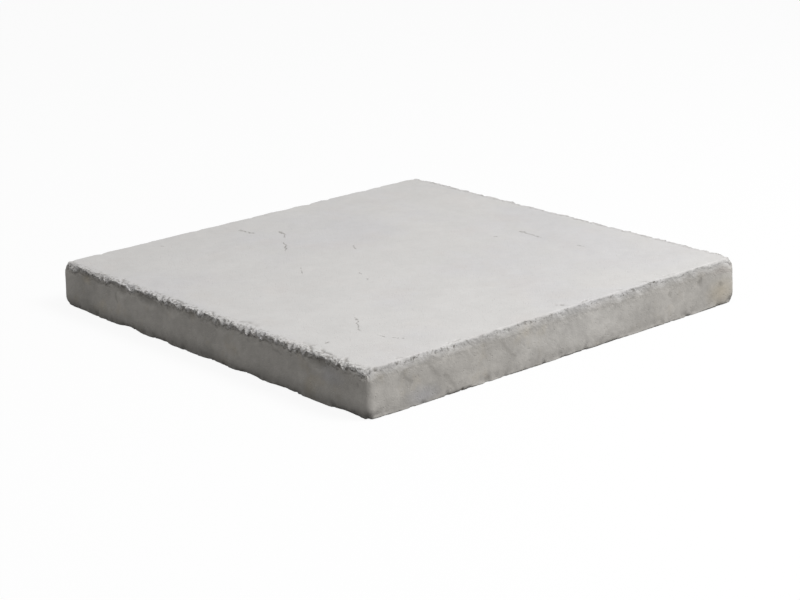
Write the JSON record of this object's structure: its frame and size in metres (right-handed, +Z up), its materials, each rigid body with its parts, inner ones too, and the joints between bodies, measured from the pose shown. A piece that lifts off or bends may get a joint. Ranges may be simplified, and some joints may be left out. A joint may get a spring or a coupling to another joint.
{
  "type": "pillar cap",
  "caption": "Flat square cap for a masonry pillar, cast in one piece, with chiselled rock-face edges all round and a gently riven top; lies on the pillar on its flat bed",
  "frame": {"origin": "centre of the bed face, the flat underside that is laid on the pillar", "axes": "+Z up through the thickness; X and Y along the four equal sides; -Y is the side on the picture's right and -X the side on its left"},
  "size_m": [0.61, 0.61, 0.059],
  "materials": {
    "cast_stone": "light warm grey cast concrete, matt, a little paler where the chisel has broken the skin"
  },
  "bodies": {
    "root": {"pillar_cap": "cast_stone"}
  },
  "joints": []
}
